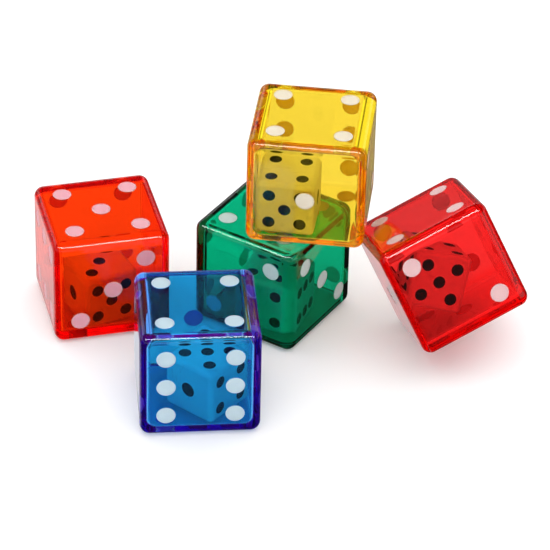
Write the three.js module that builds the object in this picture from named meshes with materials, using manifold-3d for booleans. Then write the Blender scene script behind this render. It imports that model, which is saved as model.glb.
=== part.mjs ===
// A set of five double dice: each is a hollow clear shell closed by a lid, with a smaller solid die
// loose inside it. Millimetres, +Z up. The origin is at the bottom centre of the whole set's box.
import * as THREE from 'three';
import { RoundedBoxGeometry } from 'three/addons/geometries/RoundedBoxGeometry.js';
import { mergeVertices } from 'three/addons/utils/BufferGeometryUtils.js';
import Module from 'manifold-3d';

const wasm = await Module();
wasm.setup();

// Driving dimensions, in millimetres
const EDGE = 19;                 // outer die, face to face
const EDGE_ROUND = 1.6;          // rounding of its edges and corners
const WALL = 1.3;                // shell and lid thickness
const LID_FLANGE = 0.9;          // the part of the lid that lies on the shell's rim
const WELD_GAP = 0.05;           // room for the weld between lid and rim
const PLUG_CLEARANCE = 0.1;      // between the lid's plug and the mouth, on each side
const INNER_EDGE = 9.5;          // inner die, face to face
const INNER_ROUND = 0.9;
const REST_GAP = 0.1;            // between pieces that stand on each other
const ARC_STEPS = 2;             // facets in each rounded edge

// The pip that stands alone on its face may be larger, and off the middle towards the face's -u.
const OUTER_PIP = { radius: 1.5, lone: 1.5, drift: 0.7, spacing: 5.4, depth: 0.3, sides: 10 };
const INNER_PIP = { radius: 1.0, lone: 1.25, drift: 0, spacing: 2.5, depth: 0.2, sides: 8 };

const CAVITY = EDGE - 2 * WALL;
const RIM = EDGE / 2 - LID_FLANGE;           // the height of the rim on the lid's axis
const FLOOR = -EDGE / 2 + WALL;              // the cavity's floor, from the die's centre
const INNER_HEIGHT = FLOOR + REST_GAP + INNER_EDGE / 2;

const X = new THREE.Vector3(1, 0, 0);
const Y = new THREE.Vector3(0, 1, 0);
const Z = new THREE.Vector3(0, 0, 1);

// Pip places on each face of a die as moulded, in units of the pip spacing, along the face's two axes.
// Opposite faces add up to seven. The lid is the face with one pip.
const FACES = [
  { normal: X, u: Y, v: Z, pips: [[0, 0]] },
  { normal: neg(X), u: Y, v: Z, pips: [[-1, -1], [0, -1], [1, -1], [-1, 1], [0, 1], [1, 1]] },
  { normal: Y, u: X, v: Z, pips: [[-1, -1], [1, -1], [-1, 1], [1, 1]] },
  { normal: neg(Y), u: X, v: Z, pips: [[-1, -1], [0, 0], [1, 1]] },
  { normal: Z, u: X, v: Y, pips: [[-1, -1], [1, -1], [0, 0], [-1, 1], [1, 1]] },
  { normal: neg(Z), u: X, v: Y, pips: [[-1, -1], [1, 1]] },
];

// The way up of a die: where its moulded X, Y and Z axes point once it is placed.
const AS_MOULDED = [X, Y, Z];

// Each level die: its centre, its turn about the vertical in degrees, its way up, and how the inner die
// lies in it, measured from the shell's centre along the shell's own level axes.
const DICE = [
  {
    name: 'orange', colour: 0xf03a0c, at: [-28.4, -9.6, EDGE / 2], turn: 14.5, way: AS_MOULDED,
    inner: { at: [-1, -2.5, INNER_HEIGHT], turn: 14, way: [neg(X), neg(Z), neg(Y)] },
  },
  {
    name: 'blue', colour: 0x1c5fc4, at: [-12, -34.8, EDGE / 2], turn: 5.5, way: [Y, Z, X],
    inner: { at: [1.5, -1.7, INNER_HEIGHT], turn: 46.5, way: [neg(X), neg(Y), Z] },
  },
  {
    name: 'green', colour: 0x008a5c, at: [-0.4, -9.5, EDGE / 2], turn: -31.5, way: [neg(Z), neg(X), Y],
    inner: { at: [1.95, -2.7, INNER_HEIGHT], turn: 10, way: [neg(X), neg(Y), Z] },
  },
  {
    name: 'yellow', colour: 0xf7c81e, at: [5.4, -9.9, 1.5 * EDGE + REST_GAP], turn: -6,
    way: [neg(Y), Z, neg(X)],
    inner: { at: [-3.2, -3.25, INNER_HEIGHT], turn: -1.5, way: [X, Z, neg(Y)] },
  },
];

// The red die stands on one corner. Lying flat it would be turned by RED_TURN; it is tipped up from
// there by RED_TILT about a level axis through the centre of that corner's rounding.
const RED_TURN = 16.6;
const RED_TILT = 29.5;
const RED_AXIS_TURN = 66;
const RED_FOOT = [21.8, -12.6];
const RED = {
  name: 'red', colour: 0xd81e1e, way: [neg(X), Z, Y],
  inner: { at: [-1.8, 3.1, -1.79], lean: 39, way: [X, Z, neg(Y)] },
};

const INNER_COLOUR = 0xf4f2ec;
const MERGE_TOLERANCE = 1e-4;     // vertices nearer than this are one

function neg(axis) {
  return axis.clone().negate();
}

function solid(geometry) {
  geometry.deleteAttribute('normal');
  geometry.deleteAttribute('uv');
  const merged = mergeVertices(geometry, MERGE_TOLERANCE);
  return new wasm.Manifold(new wasm.Mesh({
    numProp: 3,
    vertProperties: new Float32Array(merged.attributes.position.array),
    triVerts: new Uint32Array(merged.index.array),
  }));
}

function geometryOf(body) {
  const mesh = body.getMesh();
  const geometry = new THREE.BufferGeometry();
  geometry.setAttribute('position', new THREE.BufferAttribute(mesh.vertProperties, 3));
  geometry.setIndex(new THREE.BufferAttribute(mesh.triVerts, 1));
  return geometry;
}

function box(from, to) {
  const size = to.map((high, i) => high - from[i]);
  const geometry = new THREE.BoxGeometry(...size);
  geometry.translate(...from.map((low, i) => low + size[i] / 2));
  return solid(geometry);
}

function roundedCube(edge, round) {
  return solid(new RoundedBoxGeometry(edge, edge, edge, ARC_STEPS, round));
}

// A drum that sinks one pip to its depth below the face at half the edge
function pipDrum(face, place, edge, pip) {
  const height = 2 * pip.depth;
  const alone = face.pips.length === 1;
  const radius = alone ? pip.lone : pip.radius;
  const drum = new THREE.CylinderGeometry(radius, radius, height, pip.sides);
  drum.applyQuaternion(new THREE.Quaternion().setFromUnitVectors(Y, face.normal));
  const centre = face.normal.clone().multiplyScalar(edge / 2);
  centre.addScaledVector(face.u, place[0] * pip.spacing - (alone ? pip.drift : 0));
  centre.addScaledVector(face.v, place[1] * pip.spacing);
  drum.translate(centre.x, centre.y, centre.z);
  return solid(drum);
}

function sinkPips(body, edge, pip, faces) {
  let sunk = body;
  for (const face of faces) {
    for (const place of face.pips) {
      sunk = sunk.subtract(pipDrum(face, place, edge, pip));
    }
  }
  return sunk;
}

function shellGeometry() {
  const half = EDGE / 2;
  const inside = CAVITY / 2;
  const cut = box([-inside, -inside, -inside], [EDGE, inside, inside]);
  const aboveRim = box([RIM, -EDGE, -EDGE], [half + EDGE, EDGE, EDGE]);
  const cup = roundedCube(EDGE, EDGE_ROUND).subtract(cut).subtract(aboveRim);
  return geometryOf(sinkPips(cup, EDGE, OUTER_PIP, FACES.slice(1)));
}

function lidGeometry() {
  const plug = CAVITY / 2 - PLUG_CLEARANCE;
  const flange = box([RIM + WELD_GAP, -EDGE, -EDGE], [EDGE, EDGE, EDGE]);
  const plugPlate = box([CAVITY / 2, -plug, -plug], [EDGE, plug, plug]);
  const plate = roundedCube(EDGE, EDGE_ROUND).intersect(flange.add(plugPlate));
  return geometryOf(sinkPips(plate, EDGE, OUTER_PIP, FACES.slice(0, 1)));
}

function innerGeometry() {
  return geometryOf(sinkPips(roundedCube(INNER_EDGE, INNER_ROUND), INNER_EDGE, INNER_PIP, FACES));
}

const SHELL = shellGeometry();
const LID = lidGeometry();
const INNER = innerGeometry();

function clearPlastic(colour) {
  return new THREE.MeshStandardMaterial({ color: colour, roughness: 0.08, metalness: 0 });
}

function whitePlastic() {
  return new THREE.MeshStandardMaterial({ color: INNER_COLOUR, roughness: 0.35, metalness: 0 });
}

function named(name, geometry, material) {
  const mesh = new THREE.Mesh(geometry, material);
  mesh.name = name;
  return mesh;
}

function wayUp(axes) {
  return new THREE.Quaternion().setFromRotationMatrix(new THREE.Matrix4().makeBasis(...axes));
}

function turned(degrees, axis = Z) {
  return new THREE.Quaternion().setFromAxisAngle(axis, THREE.MathUtils.degToRad(degrees));
}

// One double die about its centre. The group's own axes are level with the die's faces.
function doubleDie(die) {
  const group = new THREE.Group();
  const plastic = clearPlastic(die.colour);
  const shell = named(`${die.name}_shell`, SHELL, plastic);
  const lid = named(`${die.name}_lid`, LID, plastic);
  shell.quaternion.copy(wayUp(die.way));
  lid.quaternion.copy(shell.quaternion);
  const inner = named(`${die.name}_inner_die`, INNER, whitePlastic());
  inner.position.set(...die.inner.at);
  inner.quaternion.copy(turned(die.inner.turn ?? 0));
  inner.quaternion.multiply(turned(die.inner.lean ?? 0, Y));
  inner.quaternion.multiply(wayUp(die.inner.way));
  group.add(shell, lid, inner);
  return group;
}

function levelDie(die) {
  const group = doubleDie(die);
  group.position.set(...die.at);
  group.quaternion.copy(turned(die.turn));
  return group;
}

// The corner that the red die stands on is its left, back, bottom one.
function tippedDie(die) {
  const reach = EDGE / 2 - EDGE_ROUND;
  const corner = new THREE.Vector3(-reach, reach, -reach);
  const axis = X.clone().applyQuaternion(turned(RED_AXIS_TURN));
  const group = doubleDie(die);
  group.quaternion.copy(turned(-RED_TILT, axis)).multiply(turned(RED_TURN));
  group.position.set(...RED_FOOT, EDGE_ROUND).sub(corner.applyQuaternion(group.quaternion));
  return group;
}

const dice = new THREE.Group();
for (const die of DICE) {
  dice.add(levelDie(die));
}
dice.add(tippedDie(RED));

// Bring the origin to the bottom centre of the set
const bounds = new THREE.Box3().setFromObject(dice, true);
const middle = bounds.getCenter(new THREE.Vector3());
dice.position.set(-middle.x, -middle.y, 0);

const model = new THREE.Group();
model.add(dice);

export default model;
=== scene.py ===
"""Looks of a set of five double dice: clear tinted shells, each with a loose white die inside."""
import math

import bmesh
import bpy
from mathutils import Matrix, Quaternion, Vector


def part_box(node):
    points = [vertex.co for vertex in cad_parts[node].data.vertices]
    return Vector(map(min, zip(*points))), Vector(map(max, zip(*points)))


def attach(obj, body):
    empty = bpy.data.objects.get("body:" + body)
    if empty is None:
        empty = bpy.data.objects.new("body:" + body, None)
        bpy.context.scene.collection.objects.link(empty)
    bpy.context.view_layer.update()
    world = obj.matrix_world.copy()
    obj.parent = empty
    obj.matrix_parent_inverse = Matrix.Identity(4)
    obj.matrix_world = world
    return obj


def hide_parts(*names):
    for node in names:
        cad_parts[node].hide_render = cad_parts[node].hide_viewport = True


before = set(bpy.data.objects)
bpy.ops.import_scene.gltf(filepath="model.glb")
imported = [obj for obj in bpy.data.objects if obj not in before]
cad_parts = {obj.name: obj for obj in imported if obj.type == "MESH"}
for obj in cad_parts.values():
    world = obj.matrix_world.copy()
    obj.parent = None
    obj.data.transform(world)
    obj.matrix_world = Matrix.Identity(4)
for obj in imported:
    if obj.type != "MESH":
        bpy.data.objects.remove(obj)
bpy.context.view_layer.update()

MM = 0.001

# Sizes of one double die, in millimetres, as in the CAD model
EDGE = 19.0
EDGE_ROUND = 1.6
WALL = 1.3
LID_FLANGE = 0.9
WELD_GAP = 0.05
PLUG_CLEARANCE = 0.1
INNER_EDGE = 9.5
INNER_ROUND = 0.9
CAVITY_FILLET = 1.3                          # of the cavity's four edges along the mould's draw
FLOOR_FILLET = 0.4                           # of the edges round the cup's floor
CAVITY = EDGE - 2 * WALL
RIM = EDGE / 2 - LID_FLANGE

# Pips: the one that stands alone on its face may be larger, and drift off the middle. The paint's top
# is sunk below the face, and dished.
OUTER_PIP = {
    "radius": 1.5, "lone": 1.5, "drift": 0.7, "spacing": 5.4, "depth": 0.3, "sunk": 0.03, "dish": 0.05,
}
INNER_PIP = {
    "radius": 1.0, "lone": 1.25, "drift": 0.0, "spacing": 2.5, "depth": 0.2, "sunk": 0.02, "dish": 0.1,
}

ROUND_STEPS = 10                             # facets across a rounded edge
FLOOR_STEPS = 5                              # and across the fillet round the cup's floor
PIP_SIDES = 48
PAINT_RINGS = 8
PAINT_GRIP = 0.01                            # how far paint reaches into the plastic round it
PAINT_SHARP = math.radians(40)               # folds in the paint that are sharper stay sharp
ON_SURFACE = 0.02                            # a corner this near to a curved surface lies on it
SMOOTH_DOT = math.cos(math.radians(20))      # if its face is turned from it by no more than this

PLASTIC_IOR = 1.49
GLOSS = (0.01, 0.04)                         # range of the clear plastic's roughness
SCUFF_ROUGHNESS = 0.05                       # what a scuff adds to it
PAINT_ROUGHNESS = (0.32, 0.5)
INNER_ROUGHNESS = (0.28, 0.45)
PAINT_DEPTH = 0.001                          # how far light spreads in the white paint
PAINT_SHINE = 0.5
BLACK_SHINE = 0.12
BLACK = (0.004, 0.004, 0.004)
BLACK_RIM = (0.010, 0.010, 0.010)
INNER_WHITE = (0.90, 0.89, 0.87)
INNER_SHADE = (0.84, 0.83, 0.81)
INNER_RUBBED = (0.74, 0.73, 0.72)
NOISE_SPAN = (0.3, 0.7)                      # the part of a noise's range that is used
RIDGE = (0.62, 0.70)                         # where a noise is high enough to be a scratch
RIM_LINE = (0.86, 0.97)                      # where the line round a pip begins, and is full
NOISE_STEP = 0.37                            # from one die's noises to the next die's
TINT_MOTTLE = 0.97                           # how dark the darkest patches are, as a share
PAINT_MOTTLE = 0.94

WORLD_STRENGTH = 1.0
# How bright the studio is at these heights, from -1, straight down, to 1, straight up
SKY_FRONT = ((-0.05, 0.03), (0.04, 0.15), (0.10, 0.80), (0.25, 0.80), (0.40, 0.06))
SKY_BEHIND = ((-0.50, 0.80), (-0.20, 0.15), (0.04, 0.15), (0.10, 1.0), (0.25, 1.0), (0.40, 0.04))
PALE_SIDE = (-0.6, 0.8, 0.0)                 # behind the dice, to the left
PALE_EDGE = (0.55, 0.70)                     # how nearly that way the pale side begins, and is full
MOST_BOUNCES = 32

FLOOR_HALF = 3.0
FLOOR_DROP = 0.00005                         # how far the floor lies below the dice
FLOOR_GLOW = 0.14                            # keeps the shadows pale
FLOOR_PALE = (0.93, 0.93, 0.93)
FLOOR_SHADE = (0.91, 0.91, 0.91)
FLOOR_ROUGHNESS = 0.9
FLOOR_SHINE = 0.1

# Area lights, all aimed at the dice: place, width and height, and power
LIGHT_AIM = (0.0, 0.0, 0.01)
LIGHTS = {
    "strip": ((-0.20, -0.87, 1.34), (3.0, 0.30), 42.0),
    "top": ((0.0, 0.05, 1.5), (3.0, 2.8), 43.0),
    "front": ((0.0, -1.5, 0.9), (2.4, 0.9), 13.0),
    "back": ((0.0, 1.5, 0.7), (2.8, 0.9), 6.0),
}
REFLECTED_LIGHT = "strip"                    # reflections see only this light, and only they see it

CAMERA_AIM = (-0.0004, 0.0210, 0.0)
CAMERA_DISTANCE = 0.580
CAMERA_PITCH = 35.08
CAMERA_ROLL = 1.4
CAMERA_LENS = 227.0
CAMERA_CLIP = (0.01, 10.0)

# Sockets of a Mix node that mixes colours
MIX_FACTOR = 0
MIX_FIRST = 6
MIX_SECOND = 7
MIX_RESULT = 2

X, Y, Z = (Vector(axis) for axis in ((1, 0, 0), (0, 1, 0), (0, 0, 1)))

# Pips of each moulded face: normal, the two axes along the face, and places in pip spacings
FACES = (
    (X, Y, Z, ((0, 0),)),
    (-X, Y, Z, ((-1, -1), (0, -1), (1, -1), (-1, 1), (0, 1), (1, 1))),
    (Y, X, Z, ((-1, -1), (1, -1), (-1, 1), (1, 1))),
    (-Y, X, Z, ((-1, -1), (0, 0), (1, 1))),
    (Z, X, Y, ((-1, -1), (1, -1), (0, 0), (-1, 1), (1, 1))),
    (-Z, X, Y, ((-1, -1), (1, 1))),
)


def turned(degrees, axis=Z):
    return Quaternion(axis, math.radians(degrees))


def way_up(x, y, z):
    """The turn that points a die's moulded X, Y and Z axes along x, y and z."""
    return Matrix((x, y, z)).transposed().to_quaternion()


# The red die is turned as it would lie flat, then tipped up about a level axis
RED_TURN = 16.6
RED_TILT = 29.5
RED_AXIS_TURN = 66
RED_TIP = turned(-RED_TILT, turned(RED_AXIS_TURN) @ X) @ turned(RED_TURN)

# How each shell is turned, which way up it is, and the same for its inner die within the shell
DICE = {
    "orange": (turned(14.5), way_up(X, Y, Z), turned(14), way_up(-X, -Z, -Y)),
    "blue": (turned(5.5), way_up(Y, Z, X), turned(46.5), way_up(-X, -Y, Z)),
    "green": (turned(-31.5), way_up(-Z, -X, Y), turned(10), way_up(-X, -Y, Z)),
    "yellow": (turned(-6), way_up(-Y, Z, -X), turned(-1.5), way_up(X, Z, -Y)),
    "red": (RED_TIP, way_up(-X, Z, Y), turned(39, Y), way_up(X, Z, -Y)),
}

# Clear plastics: light lost per millimetre of plastic in red, green and blue, and the tint that every
# surface adds. The pips' paint is white; its colour, its rim's and most of all its underside's have
# painted light in them: the plastic's coloured glow that shines through the thin paint.
PLASTICS = {
    "orange": {
        "loss": (0.0, 1.0, 2.4), "tint": (1.0, 0.93, 0.90),
        "paint": (1.0, 0.42, 0.49), "paint_rim": (1.0, 0.62, 0.68), "painted_glow_under": (1.0, 0.32, 0.10),
    },
    "blue": {
        "loss": (0.0, 0.27, 0.03), "tint": (0.10, 0.93, 0.96),
        "paint": (0.55, 0.72, 0.75), "paint_rim": (0.70, 0.88, 0.92), "painted_glow_under": (0.50, 0.30, 0.90),
    },
    "green": {
        "loss": (1.9, 0.23, 0.45), "tint": (0.3, 0.98, 0.96),
        "paint": (0.68, 0.94, 0.92), "paint_rim": (0.80, 1.0, 0.98), "painted_glow_under": (0.14, 0.65, 0.55),
    },
    "yellow": {
        "loss": (0.0, 0.045, 0.95), "tint": (0.955, 0.865, 0.85),
        "paint": (0.95, 0.78, 0.62), "paint_rim": (1.0, 0.92, 0.80), "painted_glow_under": (1.0, 0.54, 0.01),
    },
    "red": {
        "loss": (0.01, 1.35, 1.35), "tint": (0.97, 0.88, 0.88),
        "paint": (0.84, 0.55, 0.56), "paint_rim": (0.95, 0.72, 0.74), "painted_glow_under": (0.90, 0.20, 0.20),
    },
}


# ---------------------------------------------------------------- meshes

def finished_mesh(name, bm):
    mesh = bpy.data.meshes.new(name)
    bm.to_mesh(mesh)
    bm.free()
    return mesh


def cube_mesh(edge, round_):
    """A cube whose edges and corners are rounded."""
    bm = bmesh.new()
    bmesh.ops.create_cube(bm, size=edge)
    bmesh.ops.bevel(
        bm, geom=bm.edges[:], offset=round_, segments=ROUND_STEPS, profile=0.5, affect="EDGES",
    )
    return finished_mesh("cube", bm)


def pips_of(faces, edge, pip):
    """Each pip's centre on its face, the turn from +Z to the face's normal, and its radius. A pip that
    stands alone on its face may be larger, and off the middle."""
    for normal, u, v, places in faces:
        alone = len(places) == 1
        turn = Z.rotation_difference(normal).to_matrix()
        drift = u * pip["drift"] if alone else Vector()
        for along, across in places:
            centre = normal * edge / 2 + (u * along + v * across) * pip["spacing"] - drift
            yield centre, turn, pip["lone"] if alone else pip["radius"]


def drum(centre, turn, radius, depth):
    """A cylinder that sinks one pip to its depth below its face."""
    bm = bmesh.new()
    bmesh.ops.create_cone(
        bm, cap_ends=True, segments=PIP_SIDES, radius1=radius, radius2=radius, depth=2 * depth,
    )
    bm.transform(Matrix.Translation(centre) @ turn.to_4x4())
    return bm


def drums(faces, edge, pip):
    """The drums of every pip of these faces, in one mesh."""
    bm = bmesh.new()
    for centre, turn, radius in pips_of(faces, edge, pip):
        part = finished_mesh("drum", drum(centre, turn, radius, pip["depth"]))
        bm.from_mesh(part)
        bpy.data.meshes.remove(part)
    return bm


def combined(mesh, other, operation):
    """mesh cut by, joined to or kept within other."""
    base = bpy.data.objects.new("base", mesh)
    tool = bpy.data.objects.new("tool", other)
    for o in (base, tool):
        bpy.context.scene.collection.objects.link(o)
    cut = base.modifiers.new("cut", "BOOLEAN")
    cut.operation = operation
    cut.object = tool
    cut.solver = "EXACT"
    graph = bpy.context.evaluated_depsgraph_get()
    result = bpy.data.meshes.new_from_object(base.evaluated_get(graph), depsgraph=graph)
    for o in (base, tool):
        bpy.data.objects.remove(o)
    return result


def box_mesh(low, high):
    bm = bmesh.new()
    bmesh.ops.create_cube(bm, size=1.0)
    low, high = Vector(low), Vector(high)
    for v in bm.verts:
        v.co = Vector([(low[i] + high[i]) / 2 + v.co[i] * (high[i] - low[i]) for i in range(3)])
    return finished_mesh("box", bm)


def outline(half, round_):
    """The points of a square with rounded corners, half as wide as given, going round once."""
    points = []
    core = (half - round_) * math.sqrt(2)
    for corner in range(4):
        diagonal = math.pi / 2 * (corner + 0.5)
        for step in range(ROUND_STEPS + 1):
            angle = math.pi / 2 * (corner + step / ROUND_STEPS)
            points.append((
                core * math.cos(diagonal) + round_ * math.cos(angle),
                core * math.sin(diagonal) + round_ * math.sin(angle),
            ))
    return points


def cavity_mesh():
    """The space inside a shell, drawn out past its mouth along +X: rounded edges along the draw, and
    a small fillet round its floor."""
    bm = bmesh.new()
    half = CAVITY / 2
    steps = [math.pi / 2 * k / FLOOR_STEPS for k in range(FLOOR_STEPS + 1)]
    levels = [(FLOOR_FILLET * (1 - math.sin(a)), FLOOR_FILLET * (1 - math.cos(a))) for a in steps]
    rings = [[-half + up, inset] for inset, up in levels] + [[EDGE, 0.0]]
    loops = []
    for x, inset in rings:
        loops.append([bm.verts.new((x, y, z)) for y, z in outline(half - inset, CAVITY_FILLET - inset)])
    count = len(loops[0])
    for lower, upper in zip(loops, loops[1:]):
        for k in range(count):
            n = (k + 1) % count
            bm.faces.new((lower[k], lower[n], upper[n], upper[k]))
    bm.faces.new(list(reversed(loops[0])))
    bm.faces.new(loops[-1])
    bmesh.ops.recalc_face_normals(bm, faces=bm.faces[:])
    return finished_mesh("cavity", bm)


def on_rounded_cube(edge, round_):
    """For a point, its height above a rounded cube's surface and the normal there."""
    reach = edge / 2 - round_

    def measure(point):
        away = point - Vector([min(max(part, -reach), reach) for part in point])
        return away.length - round_, away.normalized()

    return measure


def in_cavity(point):
    """A point's depth outside the cavity's wall, and the normal of the plastic there."""
    reach = CAVITY / 2 - CAVITY_FILLET
    side = Vector((0, *[part - min(max(part, -reach), reach) for part in point[1:]]))
    past_side = max(side.length - CAVITY_FILLET + FLOOR_FILLET, 0)
    past_floor = max(-CAVITY / 2 - point.x + FLOOR_FILLET, 0)
    way = side.normalized() * past_side - X * past_floor
    return way.length - FLOOR_FILLET, -way.normalized()


def shade(mesh, surfaces):
    """Exact normals: a corner of a face takes the normal of the curved surface that it lies on, and
    every other face stays flat."""
    normals = []
    for polygon in mesh.polygons:
        flat = polygon.normal.copy()
        for index in polygon.loop_indices:
            point = mesh.vertices[mesh.loops[index].vertex_index].co
            chosen = flat
            for measure in surfaces:
                height, normal = measure(point)
                if abs(height) < ON_SURFACE and normal.dot(flat) > SMOOTH_DOT:
                    chosen = normal
                    break
            normals.append(chosen)
    mesh.polygons.foreach_set("use_smooth", [True] * len(mesh.polygons))
    mesh.normals_split_custom_set(normals)
    return mesh


OUTSIDE = on_rounded_cube(EDGE, EDGE_ROUND)


def shell_mesh():
    """The five-walled cup, open towards +X, with its pips sunk into it."""
    body = cube_mesh(EDGE, EDGE_ROUND)
    body = combined(body, cavity_mesh(), "DIFFERENCE")
    body = combined(body, box_mesh([RIM, -EDGE, -EDGE], [2 * EDGE, EDGE, EDGE]), "DIFFERENCE")
    body = combined(body, finished_mesh("drums", drums(FACES[1:], EDGE, OUTER_PIP)), "DIFFERENCE")
    return shade(body, (OUTSIDE, in_cavity))


def plug_mesh():
    """The lid's plug, from its bottom in the mouth up past the flange."""
    bm = bmesh.new()
    sides = outline(CAVITY / 2 - PLUG_CLEARANCE, CAVITY_FILLET - PLUG_CLEARANCE)
    bottom = bm.faces.new([bm.verts.new((CAVITY / 2, y, z)) for y, z in sides])
    top = bmesh.ops.extrude_face_region(bm, geom=[bottom])["geom"]
    raised = [v for v in top if isinstance(v, bmesh.types.BMVert)]
    bmesh.ops.translate(bm, verts=raised, vec=(EDGE / 2, 0, 0))
    bmesh.ops.recalc_face_normals(bm, faces=bm.faces[:])
    return finished_mesh("plug", bm)


def lid_mesh():
    """The sixth wall: a flange on the rim, and a plug that drops into the mouth."""
    flange = box_mesh([RIM + WELD_GAP, -EDGE, -EDGE], [EDGE, EDGE, EDGE])
    kept = combined(flange, plug_mesh(), "UNION")
    body = combined(cube_mesh(EDGE, EDGE_ROUND), kept, "INTERSECT")
    body = combined(body, finished_mesh("drums", drums(FACES[:1], EDGE, OUTER_PIP)), "DIFFERENCE")
    return shade(body, (OUTSIDE,))


def inner_mesh():
    """The small solid die, with its pips sunk into it."""
    body = cube_mesh(INNER_EDGE, INNER_ROUND)
    body = combined(body, finished_mesh("drums", drums(FACES, INNER_EDGE, INNER_PIP)), "DIFFERENCE")
    return shade(body, (on_rounded_cube(INNER_EDGE, INNER_ROUND),))


def paint_mesh(faces, edge, pip):
    """The paint in every pip of these faces: a disc with a dished top, just below the face. The rim
    attribute runs from 0 at a pip's middle to 1 at its edge, and under is 1 on the paint's underside."""
    bm = bmesh.new()
    rim = bm.verts.layers.float.new("rim")
    under = bm.verts.layers.float.new("under")
    shares = [1 - k / PAINT_RINGS for k in range(PAINT_RINGS)]
    for centre, turn, radius in pips_of(faces, edge, pip):
        reach = radius + PAINT_GRIP

        def ring(share, height, below):
            verts = []
            for k in range(PIP_SIDES):
                angle = 2 * math.pi * k / PIP_SIDES
                spot = Vector((reach * share * math.cos(angle), reach * share * math.sin(angle), height))
                verts.append(bm.verts.new(centre + turn @ spot))
                verts[-1][rim] = share
                verts[-1][under] = below
            return verts

        loops = [ring(1, -pip["depth"] - PAINT_GRIP, 1)]
        loops += [ring(share, -pip["sunk"] - pip["dish"] * (1 - share ** 3), 0) for share in shares]
        lowest = bm.verts.new(centre + turn @ Vector((0, 0, -pip["sunk"] - pip["dish"])))
        for lower, upper in zip(loops, loops[1:]):
            for k in range(PIP_SIDES):
                n = (k + 1) % PIP_SIDES
                bm.faces.new((lower[k], lower[n], upper[n], upper[k]))
        for k in range(PIP_SIDES):
            bm.faces.new((loops[-1][k], loops[-1][(k + 1) % PIP_SIDES], lowest))
        bm.faces.new(list(reversed(loops[0])))
    bmesh.ops.recalc_face_normals(bm, faces=bm.faces[:])
    mesh = finished_mesh("paint", bm)
    mesh.shade_smooth()
    mesh.set_sharp_from_angle(angle=PAINT_SHARP)
    return mesh


def moved(mesh, change):
    """The mesh moved, turned or scaled, with its normals kept."""
    turn = change.to_quaternion()
    normals = [turn @ Vector(corner.vector) for corner in mesh.corner_normals]
    mesh.transform(change)
    mesh.normals_split_custom_set(normals)
    return mesh


def in_metres(mesh):
    return moved(mesh, Matrix.Scale(MM, 4))


SHELL = in_metres(shell_mesh())
LID = in_metres(lid_mesh())
INNER = in_metres(inner_mesh())
SHELL_PAINT = in_metres(paint_mesh(FACES[1:], EDGE, OUTER_PIP))
LID_PAINT = in_metres(paint_mesh(FACES[:1], EDGE, OUTER_PIP))
INNER_PAINT = in_metres(paint_mesh(FACES, INNER_EDGE, INNER_PIP))


# ---------------------------------------------------------------- materials

def rgba(colour, scale=1.0):
    return (*[c * scale for c in colour], 1.0)


def map_range(tree, value, low, high):
    """A node that gives 0 up to low, 1 from high on, and an even rise between them."""
    node = tree.nodes.new("ShaderNodeMapRange")
    node.inputs["From Min"].default_value = low
    node.inputs["From Max"].default_value = high
    tree.links.new(value, node.inputs["Value"])
    return node


def mixed(tree, factor, first, second):
    """The first colour where factor is 0, the second where it is 1. Each is a socket or a constant."""
    mix = tree.nodes.new("ShaderNodeMix")
    mix.data_type = "RGBA"
    mix.clamp_factor = True
    for value, socket in ((factor, MIX_FACTOR), (first, MIX_FIRST), (second, MIX_SECOND)):
        if isinstance(value, bpy.types.NodeSocket):
            tree.links.new(value, mix.inputs[socket])
        else:
            mix.inputs[socket].default_value = value
    return mix.outputs[MIX_RESULT]


class Nodes:
    """Short names for making one node material."""

    def __init__(self, name):
        self.material = bpy.data.materials.new(name)
        self.material.use_nodes = True
        self.tree = self.material.node_tree
        self.tree.nodes.clear()
        self.output = self.add("ShaderNodeOutputMaterial")
        self.coords = self.add("ShaderNodeTexCoord").outputs["Object"]

    def add(self, kind, **inputs):
        node = self.tree.nodes.new(kind)
        for key, value in inputs.items():
            socket = node.inputs[key.replace("_", " ")]
            if isinstance(value, bpy.types.NodeSocket):
                self.tree.links.new(value, socket)
            else:
                socket.default_value = value
        return node

    def link(self, source, target):
        self.tree.links.new(source, target)

    def noise(self, scale, detail=3.0, offset=0.0):
        place = self.add("ShaderNodeMapping", Vector=self.coords)
        place.inputs["Location"].default_value = (offset, offset * 0.7, -offset)
        noise = self.add("ShaderNodeTexNoise", Vector=place.outputs[0], Scale=scale, Detail=detail)
        return noise.outputs["Fac"]

    def scratches(self, scale, stretch, angle, offset=0.0):
        """Thin lines: the ridges of a stretched noise."""
        place = self.add("ShaderNodeMapping", Vector=self.coords)
        place.inputs["Rotation"].default_value = (angle, angle * 0.6, angle * 1.7)
        place.inputs["Scale"].default_value = (1.0, stretch, 1.0)
        place.inputs["Location"].default_value = (offset, 0, offset)
        noise = self.add("ShaderNodeTexNoise", Vector=place.outputs[0], Scale=scale, Detail=2.0)
        return map_range(self.tree, noise.outputs["Fac"], *RIDGE).outputs[0]

    def ranged(self, noise, low, high):
        """A noise spread from low to high."""
        spread = map_range(self.tree, noise, *NOISE_SPAN)
        spread.inputs["To Min"].default_value = low
        spread.inputs["To Max"].default_value = high
        return spread.outputs[0]

    def blend(self, factor, first, second):
        return mixed(self.tree, factor, first, second)

    def bump(self, height, distance, strength=1.0, normal=None):
        bump = self.add("ShaderNodeBump", Height=height, Distance=distance, Strength=strength)
        if normal is not None:
            self.link(normal, bump.inputs["Normal"])
        return bump.outputs[0]


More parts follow.
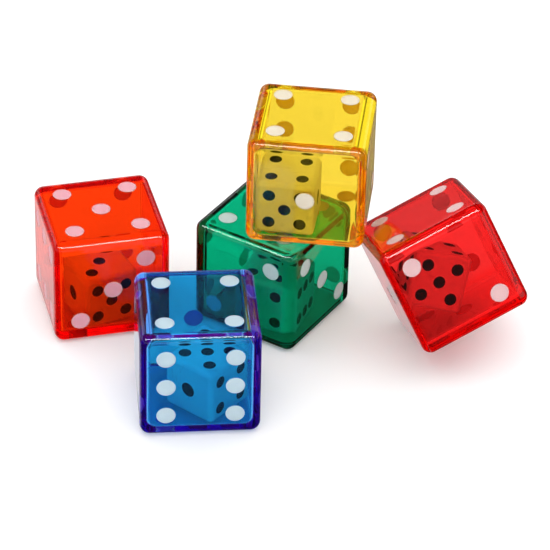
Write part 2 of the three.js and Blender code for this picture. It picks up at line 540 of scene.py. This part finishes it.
def clear_plastic(name, plastic, offset):
    """Tinted clear plastic: most of its colour comes from how far light goes through it. Its surface
    has a faint wave from the mould, and thin scuffs."""
    n = Nodes(name)
    wave = n.noise(220.0, detail=1.0, offset=offset)
    scuff = n.scratches(260.0, stretch=9.0, angle=0.5 + offset)
    rough = n.add("ShaderNodeMath")
    rough.operation = "MULTIPLY_ADD"
    n.link(scuff, rough.inputs[0])
    rough.inputs[1].default_value = SCUFF_ROUGHNESS
    n.link(n.ranged(n.noise(600.0, detail=4.0, offset=offset), *GLOSS), rough.inputs[2])
    waved = n.bump(wave, distance=0.00004, strength=0.35)
    normal = n.bump(scuff, distance=0.000004, strength=0.25, normal=waved)
    patches = n.noise(90.0, detail=2.0, offset=offset)
    tint = n.blend(patches, rgba(plastic["tint"]), rgba(plastic["tint"], TINT_MOTTLE))
    shader = n.add("ShaderNodeBsdfPrincipled", Base_Color=tint, Normal=normal, Transmission_Weight=1.0)
    shader.inputs["IOR"].default_value = PLASTIC_IOR
    n.link(rough.outputs[0], shader.inputs["Roughness"])
    loss = plastic["loss"]
    most = max(loss)
    volume = n.add("ShaderNodeVolumeAbsorption")
    volume.inputs["Density"].default_value = most / MM
    volume.inputs["Color"].default_value = (*[1 - part / most for part in loss], 1.0)
    n.link(shader.outputs[0], n.output.inputs["Surface"])
    n.link(volume.outputs[0], n.output.inputs["Volume"])
    return n.material


def pip_paint(name, colour, rim_colour, under_colour, offset, milky, shine):
    """Paint in a pip: lighter in a thin line at the rim, and another colour on its underside, which is
    painted light: the glow of the coloured plastic behind the paint. Light goes a little way through
    milky paint."""
    n = Nodes(name)
    rim = n.add("ShaderNodeAttribute")
    rim.attribute_name = "rim"
    line = map_range(n.tree, rim.outputs["Fac"], *RIM_LINE)
    patches = n.noise(900.0, detail=4.0, offset=offset)
    mottled = n.blend(patches, rgba(colour), rgba(colour, PAINT_MOTTLE))
    face = n.blend(line.outputs[0], mottled, rgba(rim_colour))
    under = n.add("ShaderNodeAttribute")
    under.attribute_name = "under"
    # The underside's colour is painted light, the plastic's coloured glow seen through the paint
    shown = n.blend(under.outputs["Fac"], face, rgba(under_colour))
    grain = n.noise(1500.0, detail=3.0, offset=offset)
    normal = n.bump(grain, distance=0.00003, strength=0.3)
    shader = n.add("ShaderNodeBsdfPrincipled", Base_Color=shown, Normal=normal)
    shader.inputs["Specular IOR Level"].default_value = shine
    rough = n.ranged(n.noise(700.0, detail=3.0, offset=offset), *PAINT_ROUGHNESS)
    n.link(rough, shader.inputs["Roughness"])
    if milky:
        shader.inputs["Subsurface Weight"].default_value = 1.0
        shader.inputs["Subsurface Scale"].default_value = PAINT_DEPTH
        shader.inputs["Subsurface Radius"].default_value = (1.0, 1.0, 1.0)
    n.link(shader.outputs[0], n.output.inputs["Surface"])
    return n.material


def inner_plastic(name, offset):
    """White opaque plastic of an inner die, with rubbed marks where it knocks about in its shell."""
    n = Nodes(name)
    rubbed = n.scratches(500.0, stretch=6.0, angle=0.9 + offset, offset=offset)
    clouded = n.noise(300.0, detail=5.0, offset=offset)
    clean = n.blend(clouded, rgba(INNER_WHITE), rgba(INNER_SHADE))
    colour = n.blend(rubbed, clean, rgba(INNER_RUBBED))
    marked = n.bump(rubbed, distance=0.00001, strength=0.3)
    grain = n.noise(1200.0, detail=3.0, offset=offset)
    normal = n.bump(grain, distance=0.00003, strength=0.3, normal=marked)
    shader = n.add("ShaderNodeBsdfPrincipled", Base_Color=colour, Normal=normal)
    rough = n.ranged(n.noise(400.0, detail=4.0, offset=offset), *INNER_ROUGHNESS)
    n.link(rough, shader.inputs["Roughness"])
    n.link(shader.outputs[0], n.output.inputs["Surface"])
    return n.material


# ---------------------------------------------------------------- pieces

def middle(*nodes):
    """The middle of the box round these CAD nodes."""
    boxes = [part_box(node) for node in nodes]
    low = Vector([min(b[0][i] for b in boxes) for i in range(3)])
    high = Vector([max(b[1][i] for b in boxes) for i in range(3)])
    return (low + high) / 2


def piece(name, mesh, material, place, turn, body, slot, *replaced):
    """One piece, put in its place by its mesh, as the CAD nodes are."""
    data = moved(mesh.copy(), Matrix.Translation(place) @ turn.to_matrix().to_4x4())
    data.name = name
    data.materials.clear()
    data.materials.append(material)
    o = bpy.data.objects.new(name, data)
    bpy.context.scene.collection.objects.link(o)
    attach(o, body)
    if replaced:
        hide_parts(*replaced)
    return o


def double_die(colour, index):
    """The six pieces of one double die: its shell, its lid, the small die inside, and their pips."""
    shell_turn, shell_way, inner_turn, inner_way = DICE[colour]
    plastic = PLASTICS[colour]
    offset = NOISE_STEP * (index + 1)
    clear = clear_plastic(f"{colour}_clear_plastic", plastic, offset)
    # The white pips' colours have the plastic's coloured light painted into them, most of all underneath
    glow_tinted_whites = plastic["paint"], plastic["paint_rim"], plastic["painted_glow_under"]
    paint = pip_paint(f"{colour}_pip_paint", *glow_tinted_whites, offset, milky=True, shine=PAINT_SHINE)
    white = inner_plastic(f"{colour}_inner_plastic", offset)
    blacks = BLACK, BLACK_RIM, BLACK
    black = pip_paint(f"{colour}_inner_paint", *blacks, offset, milky=False, shine=BLACK_SHINE)
    centre = middle(f"{colour}_shell", f"{colour}_lid")
    outer = shell_turn @ shell_way
    slot = f"{colour}_clear"
    piece(f"{colour}_clear_shell", SHELL, clear, centre, outer, colour, slot, f"{colour}_shell")
    piece(f"{colour}_clear_lid", LID, clear, centre, outer, colour, slot, f"{colour}_lid")
    piece(f"{colour}_shell_pips", SHELL_PAINT, paint, centre, outer, colour, "pip_white")
    piece(f"{colour}_lid_pip", LID_PAINT, paint, centre, outer, colour, "pip_white")
    inside = middle(f"{colour}_inner_die")
    inner = shell_turn @ inner_turn @ inner_way
    body = f"{colour}_inner"
    piece(f"{colour}_small_die", INNER, white, inside, inner, body, "inner_white", f"{colour}_inner_die")
    piece(f"{colour}_small_pips", INNER_PAINT, black, inside, inner, body, "pip_black")


for number, name in enumerate(DICE):
    double_die(name, number)


# ---------------------------------------------------------------- floor, light and camera

def make_floor():
    """Pale matt paper under the dice, which glows a little."""
    bm = bmesh.new()
    bmesh.ops.create_grid(bm, x_segments=1, y_segments=1, size=FLOOR_HALF)
    floor = bpy.data.objects.new("floor", finished_mesh("floor", bm))
    floor.location.z = -FLOOR_DROP
    bpy.context.scene.collection.objects.link(floor)
    n = Nodes("floor_paper")
    colour = n.blend(n.noise(4.0, detail=2.0), rgba(FLOOR_PALE), rgba(FLOOR_SHADE))
    shader = n.add("ShaderNodeBsdfPrincipled", Base_Color=colour, Roughness=FLOOR_ROUGHNESS)
    shader.inputs["Specular IOR Level"].default_value = FLOOR_SHINE
    shader.inputs["Emission Color"].default_value = (1, 1, 1, 1)
    shader.inputs["Emission Strength"].default_value = FLOOR_GLOW
    n.link(shader.outputs[0], n.output.inputs["Surface"])
    floor.data.materials.append(n.material)
    floor.visible_glossy = False


def make_light(name, place, size, power):
    """An area light. Reflections see only one of the lights, and nothing else sees that one."""
    data = bpy.data.lights.new(name, "AREA")
    data.shape = "RECTANGLE"
    data.size, data.size_y = size
    data.energy = power
    light = bpy.data.objects.new(name, data)
    light.location = place
    light.rotation_mode = "QUATERNION"
    light.rotation_quaternion = (Vector(LIGHT_AIM) - Vector(place)).to_track_quat("-Z", "Y")
    reflected = name == REFLECTED_LIGHT
    light.visible_glossy = reflected
    light.visible_diffuse = not reflected
    light.visible_transmission = not reflected
    bpy.context.scene.collection.objects.link(light)


def brightness(tree, height, levels):
    """How bright the studio is at a height above the horizon, where 1 is straight up."""
    share = map_range(tree, height, -1.0, 1.0).outputs[0]
    ramp = tree.nodes.new("ShaderNodeValToRGB")
    tree.links.new(share, ramp.inputs["Fac"])
    elements = ramp.color_ramp.elements
    while len(elements) < len(levels):
        elements.new(0.5)
    for element, (at, level) in zip(elements, levels):
        element.position = (at + 1) / 2
        element.color = rgba((level,) * 3)
    return ramp.outputs["Color"]


def make_world():
    """A pale wall round the room under a dark ceiling. Below the horizon, which only reflections see,
    the room is dark apart from its pale side."""
    world = bpy.data.worlds.new("studio")
    bpy.context.scene.world = world
    world.use_nodes = True
    tree = world.node_tree
    tree.nodes.clear()
    out = tree.nodes.new("ShaderNodeOutputWorld")
    way = tree.nodes.new("ShaderNodeTexCoord").outputs["Generated"]
    split = tree.nodes.new("ShaderNodeSeparateXYZ")
    tree.links.new(way, split.inputs[0])
    height = split.outputs["Z"]
    along = tree.nodes.new("ShaderNodeVectorMath")
    along.operation = "DOT_PRODUCT"
    along.inputs[1].default_value = PALE_SIDE
    tree.links.new(way, along.inputs[0])
    behind = map_range(tree, along.outputs["Value"], *PALE_EDGE).outputs[0]
    sides = brightness(tree, height, SKY_FRONT), brightness(tree, height, SKY_BEHIND)
    sky = tree.nodes.new("ShaderNodeBackground")
    sky.inputs["Strength"].default_value = WORLD_STRENGTH
    tree.links.new(mixed(tree, behind, *sides), sky.inputs["Color"])
    tree.links.new(sky.outputs[0], out.inputs["Surface"])


def make_camera():
    """The photograph's view, from in front and above."""
    data = bpy.data.cameras.new("camera")
    data.lens = CAMERA_LENS
    data.clip_start, data.clip_end = CAMERA_CLIP
    camera = bpy.data.objects.new("camera", data)
    pitch = math.radians(CAMERA_PITCH)
    back = Vector((0.0, -math.cos(pitch), math.sin(pitch)))
    camera.location = Vector(CAMERA_AIM) + back * CAMERA_DISTANCE
    camera.rotation_mode = "QUATERNION"
    tip = Quaternion(X, math.pi / 2 - pitch)
    camera.rotation_quaternion = tip @ turned(CAMERA_ROLL)
    bpy.context.scene.collection.objects.link(camera)
    bpy.context.scene.camera = camera


def set_light_paths(cycles):
    """Light needs many turns to find its way out of a rounded edge of clear plastic."""
    cycles.max_bounces = MOST_BOUNCES
    cycles.transmission_bounces = MOST_BOUNCES
    cycles.glossy_bounces = MOST_BOUNCES


make_floor()
make_world()
for name, (place, size, power) in LIGHTS.items():
    make_light(name, place, size, power)
make_camera()
bpy.context.scene.view_settings.view_transform = "Standard"
set_light_paths(bpy.context.scene.cycles)
